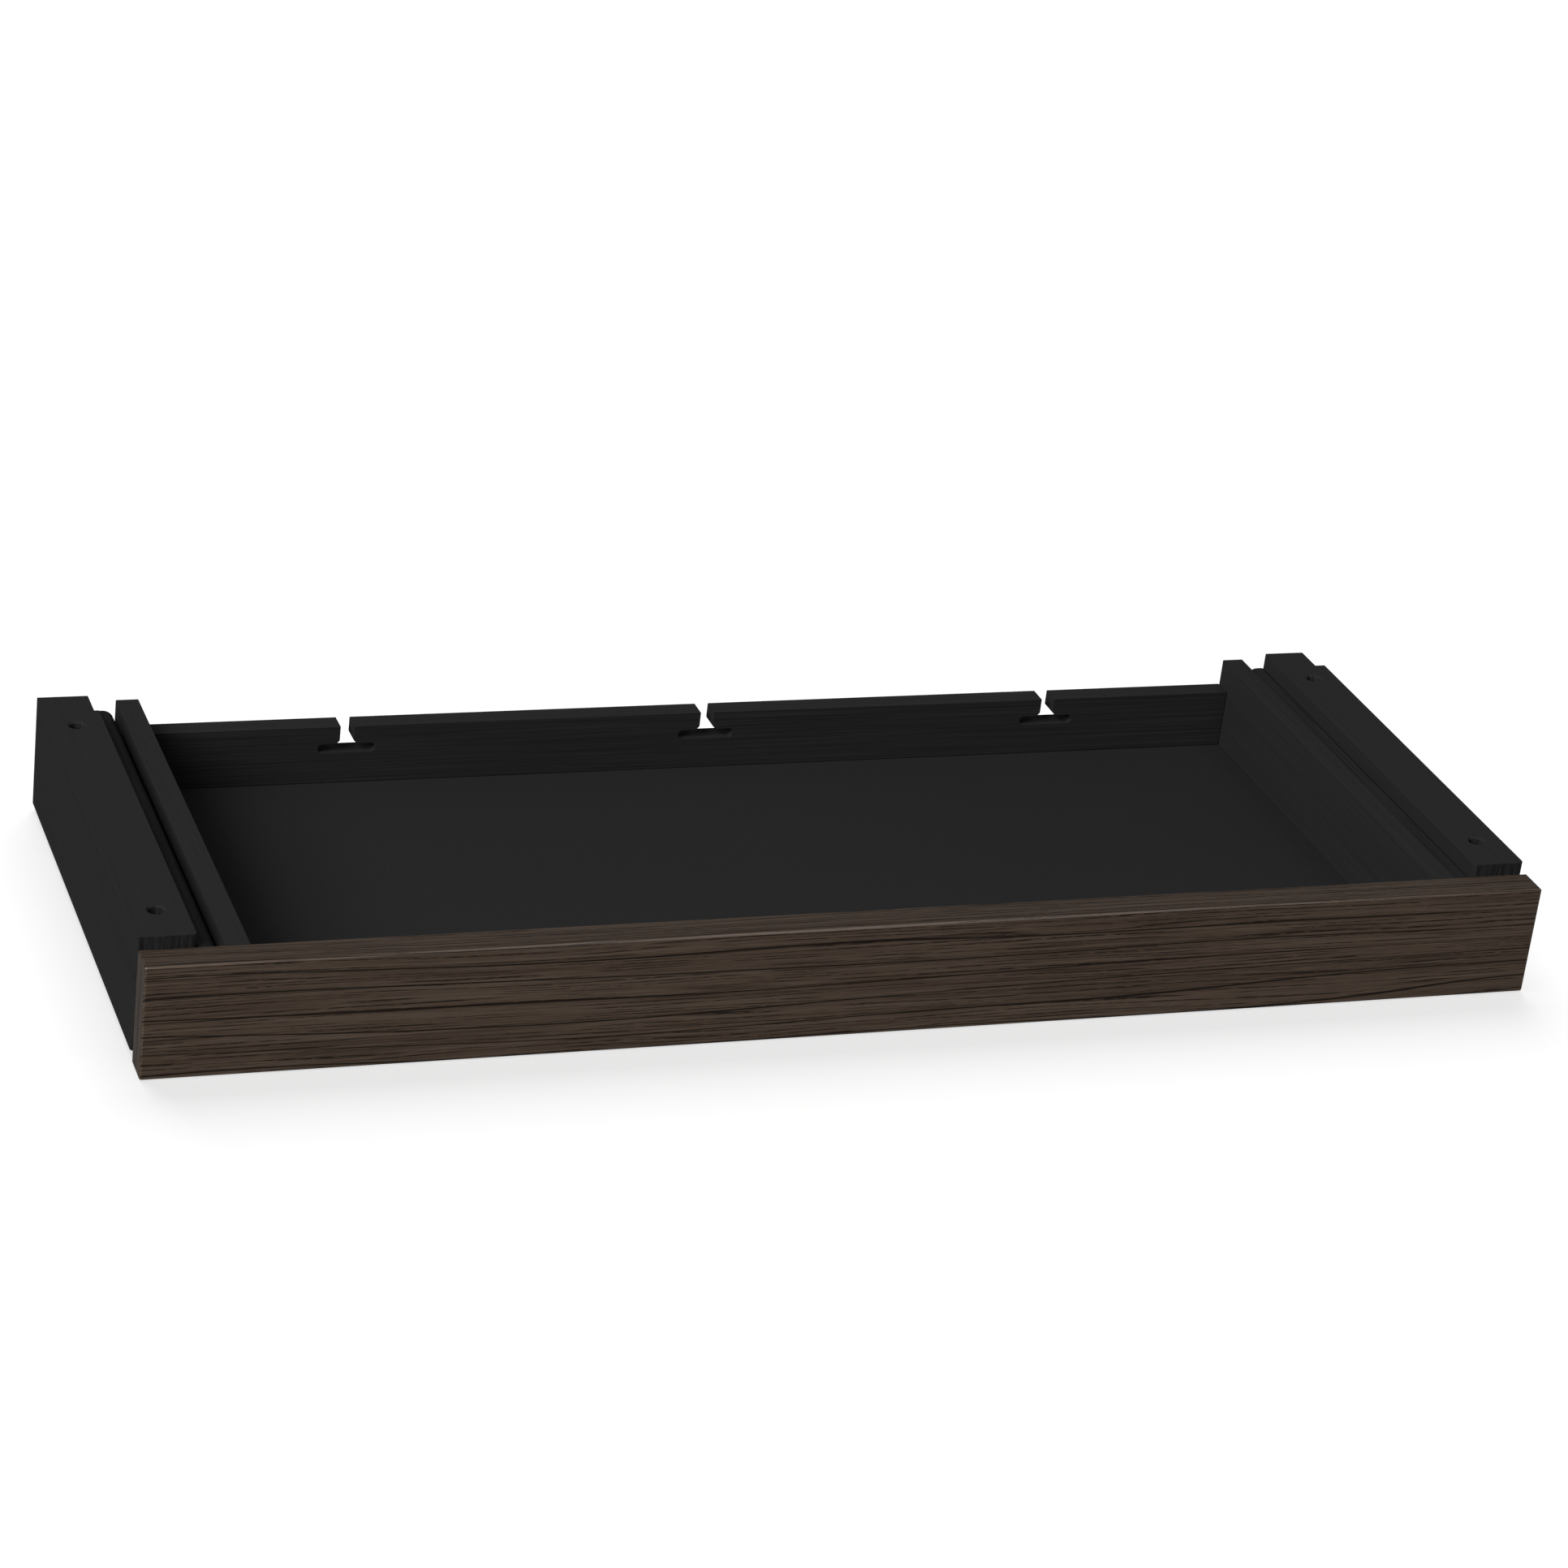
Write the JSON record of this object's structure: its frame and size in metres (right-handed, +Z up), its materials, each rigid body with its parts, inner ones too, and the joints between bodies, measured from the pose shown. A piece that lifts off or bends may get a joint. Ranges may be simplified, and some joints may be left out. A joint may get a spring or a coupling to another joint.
{
  "type": "under desk drawer",
  "caption": "Shallow under-desk drawer with a dark wood front and cable slots in its back, on ball-bearing slides between two wooden mounting blocks.",
  "frame": {"origin": "middle of the mounting plane, where the tops of the two mounting blocks meet the underside of the desk, half way along the blocks", "axes": "+X to the right along the front panel, +Y to the rear (the drawer opens towards -Y), +Z up into the desk"},
  "size_m": [0.73, 0.2915, 0.0641],
  "materials": {
    "stained_ash_veneer": "dark grey-brown stained open-grain veneer, matt",
    "black_wood": "black stained solid wood, faint grain, matt",
    "black_board": "smooth black stained board, matt",
    "black_steel": "black coated rolled steel, matt",
    "zinc_steel": "bright zinc plated steel",
    "black_plastic": "moulded black acetal",
    "birch": "raw fluted birch dowel"
  },
  "bodies": {
    "desk_mount": {"mounting_block_left": "black_wood", "slide_outer_left": "black_steel", "stop_bumper_left": "black_plastic", "block_screw_front_left": "zinc_steel", "block_screw_rear_left": "zinc_steel", "mounting_block_right": "black_wood", "slide_outer_right": "black_steel", "stop_bumper_right": "black_plastic", "block_screw_front_right": "zinc_steel", "block_screw_rear_right": "zinc_steel"},
    "drawer": {"front_panel": "stained_ash_veneer", "drawer_side_left": "black_board", "drawer_side_right": "black_board", "back_rail": "black_board", "drawer_bottom": "black_board", "slide_inner_left": "black_steel", "lever_rivet_left": "zinc_steel", "side_screw_front_left": "zinc_steel", "side_screw_rear_left": "zinc_steel", "rail_screw_upper_left": "zinc_steel", "rail_screw_lower_left": "zinc_steel", "front_dowel_upper_left": "birch", "front_dowel_lower_left": "birch", "slide_inner_right": "black_steel", "lever_rivet_right": "zinc_steel", "side_screw_front_right": "zinc_steel", "side_screw_rear_right": "zinc_steel", "rail_screw_upper_right": "zinc_steel", "rail_screw_lower_right": "zinc_steel", "front_dowel_upper_right": "birch", "front_dowel_lower_right": "birch", "bottom_screw_1": "zinc_steel", "bottom_screw_2": "zinc_steel", "bottom_screw_3": "zinc_steel", "bottom_screw_4": "zinc_steel"},
    "middle_left": {"slide_middle_left": "black_steel"},
    "outer_balls_left": {"outer_balls_upper_left": "zinc_steel", "outer_balls_lower_left": "zinc_steel"},
    "inner_balls_left": {"inner_balls_upper_left": "zinc_steel", "inner_balls_lower_left": "zinc_steel"},
    "lever_left": {"release_lever_left": "black_plastic"},
    "middle_right": {"slide_middle_right": "black_steel"},
    "outer_balls_right": {"outer_balls_upper_right": "zinc_steel", "outer_balls_lower_right": "zinc_steel"},
    "inner_balls_right": {"inner_balls_upper_right": "zinc_steel", "inner_balls_lower_right": "zinc_steel"},
    "lever_right": {"release_lever_right": "black_plastic"}
  },
  "joints": [
    {"name": "drawer_slide", "type": "slide", "parent": "desk_mount", "child": "drawer", "axis": [0, -1, 0], "range_m": [0, 0.24]},
    {"name": "middle_slide_left", "type": "slide", "parent": "desk_mount", "child": "middle_left", "axis": [0, -1, 0], "range_m": [0, 0.12]},
    {"name": "outer_balls_slide_left", "type": "slide", "parent": "desk_mount", "child": "outer_balls_left", "axis": [0, -1, 0], "range_m": [0, 0.06]},
    {"name": "inner_balls_slide_left", "type": "slide", "parent": "desk_mount", "child": "inner_balls_left", "axis": [0, -1, 0], "range_m": [0, 0.18]},
    {"name": "release_lever_left", "type": "hinge", "parent": "drawer", "child": "lever_left", "pos_m": [-0.3276, 0.019, -0.0305], "axis": [1, 0, 0], "range_deg": [-5, 5], "stiffness_Nm_per_rad": 0.02},
    {"name": "middle_slide_right", "type": "slide", "parent": "desk_mount", "child": "middle_right", "axis": [0, -1, 0], "range_m": [0, 0.12]},
    {"name": "outer_balls_slide_right", "type": "slide", "parent": "desk_mount", "child": "outer_balls_right", "axis": [0, -1, 0], "range_m": [0, 0.06]},
    {"name": "inner_balls_slide_right", "type": "slide", "parent": "desk_mount", "child": "inner_balls_right", "axis": [0, -1, 0], "range_m": [0, 0.18]},
    {"name": "release_lever_right", "type": "hinge", "parent": "drawer", "child": "lever_right", "pos_m": [0.3276, 0.019, -0.0305], "axis": [1, 0, 0], "range_deg": [-5, 5], "stiffness_Nm_per_rad": 0.02}
  ],
  "couplings": [
    {"joint": "middle_slide_left", "follows": "drawer_slide", "ratio": 0.5},
    {"joint": "outer_balls_slide_left", "follows": "drawer_slide", "ratio": 0.25},
    {"joint": "inner_balls_slide_left", "follows": "drawer_slide", "ratio": 0.75},
    {"joint": "middle_slide_right", "follows": "drawer_slide", "ratio": 0.5},
    {"joint": "outer_balls_slide_right", "follows": "drawer_slide", "ratio": 0.25},
    {"joint": "inner_balls_slide_right", "follows": "drawer_slide", "ratio": 0.75}
  ]
}
